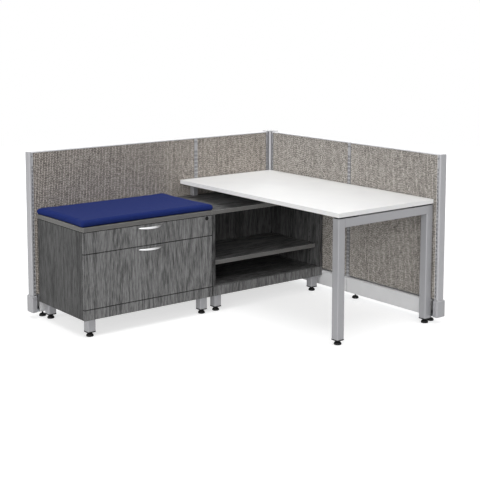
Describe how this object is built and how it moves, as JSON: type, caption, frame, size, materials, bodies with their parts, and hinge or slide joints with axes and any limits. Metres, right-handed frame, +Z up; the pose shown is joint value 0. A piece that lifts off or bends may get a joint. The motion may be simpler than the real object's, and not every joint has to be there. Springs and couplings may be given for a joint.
{
  "type": "cubicle workstation",
  "caption": "L-shaped open-plan workstation: low fabric partition panels, desk on an end leg, open bookcase unit and lateral file drawers with a seat cushion.",
  "frame": {"origin": "on the floor, under the middle of the bounding box", "axes": "+X runs to the right along the back partition, +Y runs to the back, +Z is up"},
  "size_m": [1.923, 1.64, 1.02],
  "materials": {
    "painted_frame": "satin silver powder coat",
    "trim": "light silver paint, satin",
    "raceway": "light silver paint, satin",
    "zinc": "zinc-plated steel",
    "core": "unfinished fibreboard",
    "panel_fabric": "nubby taupe-grey upholstery weave",
    "laminate": "matt grey driftwood laminate, vertical grain on the fronts",
    "drawer_inside": "grey painted drawer box",
    "handle_nickel": "satin nickel",
    "black_plastic": "matt black nylon",
    "lock_black": "black lock bezel",
    "white_laminate": "matt white laminate with a matching edge band",
    "cushion_fabric": "royal blue upholstery, tight plain weave"
  },
  "bodies": {
    "workstation": {"back_panel_frames": "painted_frame", "right_panel_frames": "painted_frame", "back_panel_standards": "painted_frame", "right_panel_standards": "painted_frame", "corner_cap": "painted_frame", "storage_feet": "painted_frame", "desk_leg_frame": "painted_frame", "desk_risers": "painted_frame", "top_caps": "trim", "corner_post": "trim", "end_trims": "trim", "raceway_covers": "raceway", "raceway_corner_cover": "raceway", "raceway_end_caps": "raceway", "joint_plates": "zinc", "raceway_trays": "zinc", "upper_slide_outer": "zinc", "lower_slide_outer": "zinc", "lock_strike": "zinc", "shelf_pins": "zinc", "panel_cores": "core", "foot_blocks": "core", "back_wide_tiles": "panel_fabric", "back_narrow_tiles": "panel_fabric", "right_rear_tiles": "panel_fabric", "right_front_tiles": "panel_fabric", "lateral_top": "laminate", "lateral_left_side": "laminate", "lateral_right_side": "laminate", "lateral_back": "laminate", "lateral_bottom": "laminate", "lateral_toe_rail": "laminate", "open_top": "laminate", "open_left_side": "laminate", "open_right_side": "laminate", "open_back": "laminate", "open_bottom": "laminate", "open_toe_rail": "laminate", "open_shelf": "laminate", "panel_glides": "black_plastic", "tube_caps": "black_plastic", "levelling_glides": "black_plastic", "desk_spacers": "black_plastic", "desk_top": "white_laminate", "seat_cushion": "cushion_fabric"},
    "upper_drawer": {"upper_drawer_front": "laminate", "upper_drawer_box": "drawer_inside", "upper_handle": "handle_nickel", "upper_slide_inner": "zinc", "lock_barrel": "lock_black"},
    "upper_slide_members": {"upper_slide_middle": "zinc"},
    "lower_drawer": {"lower_drawer_front": "laminate", "lower_drawer_box": "drawer_inside", "lower_handle": "handle_nickel", "lower_slide_inner": "zinc", "file_rails": "zinc"},
    "lower_slide_members": {"lower_slide_middle": "zinc"},
    "lock_plug": {"lock_plug": "handle_nickel", "lock_cam": "zinc"}
  },
  "joints": [
    {"name": "upper_drawer_slide", "type": "slide", "parent": "workstation", "child": "upper_drawer", "axis": [0, -1, 0], "range_m": [0, 0.42]},
    {"name": "upper_slide_members_slide", "type": "slide", "parent": "workstation", "child": "upper_slide_members", "axis": [0, -1, 0], "range_m": [0, 0.21]},
    {"name": "lower_drawer_slide", "type": "slide", "parent": "workstation", "child": "lower_drawer", "axis": [0, -1, 0], "range_m": [0, 0.42]},
    {"name": "lower_slide_members_slide", "type": "slide", "parent": "workstation", "child": "lower_slide_members", "axis": [0, -1, 0], "range_m": [0, 0.21]},
    {"name": "lock_turn", "type": "hinge", "parent": "upper_drawer", "child": "lock_plug", "pos_m": [-0.0585, 0.197, 0.5975], "axis": [0, 1, 0], "range_deg": [0, 90]}
  ],
  "couplings": [
    {"joint": "upper_slide_members_slide", "follows": "upper_drawer_slide", "ratio": 0.5},
    {"joint": "lower_slide_members_slide", "follows": "lower_drawer_slide", "ratio": 0.5}
  ]
}
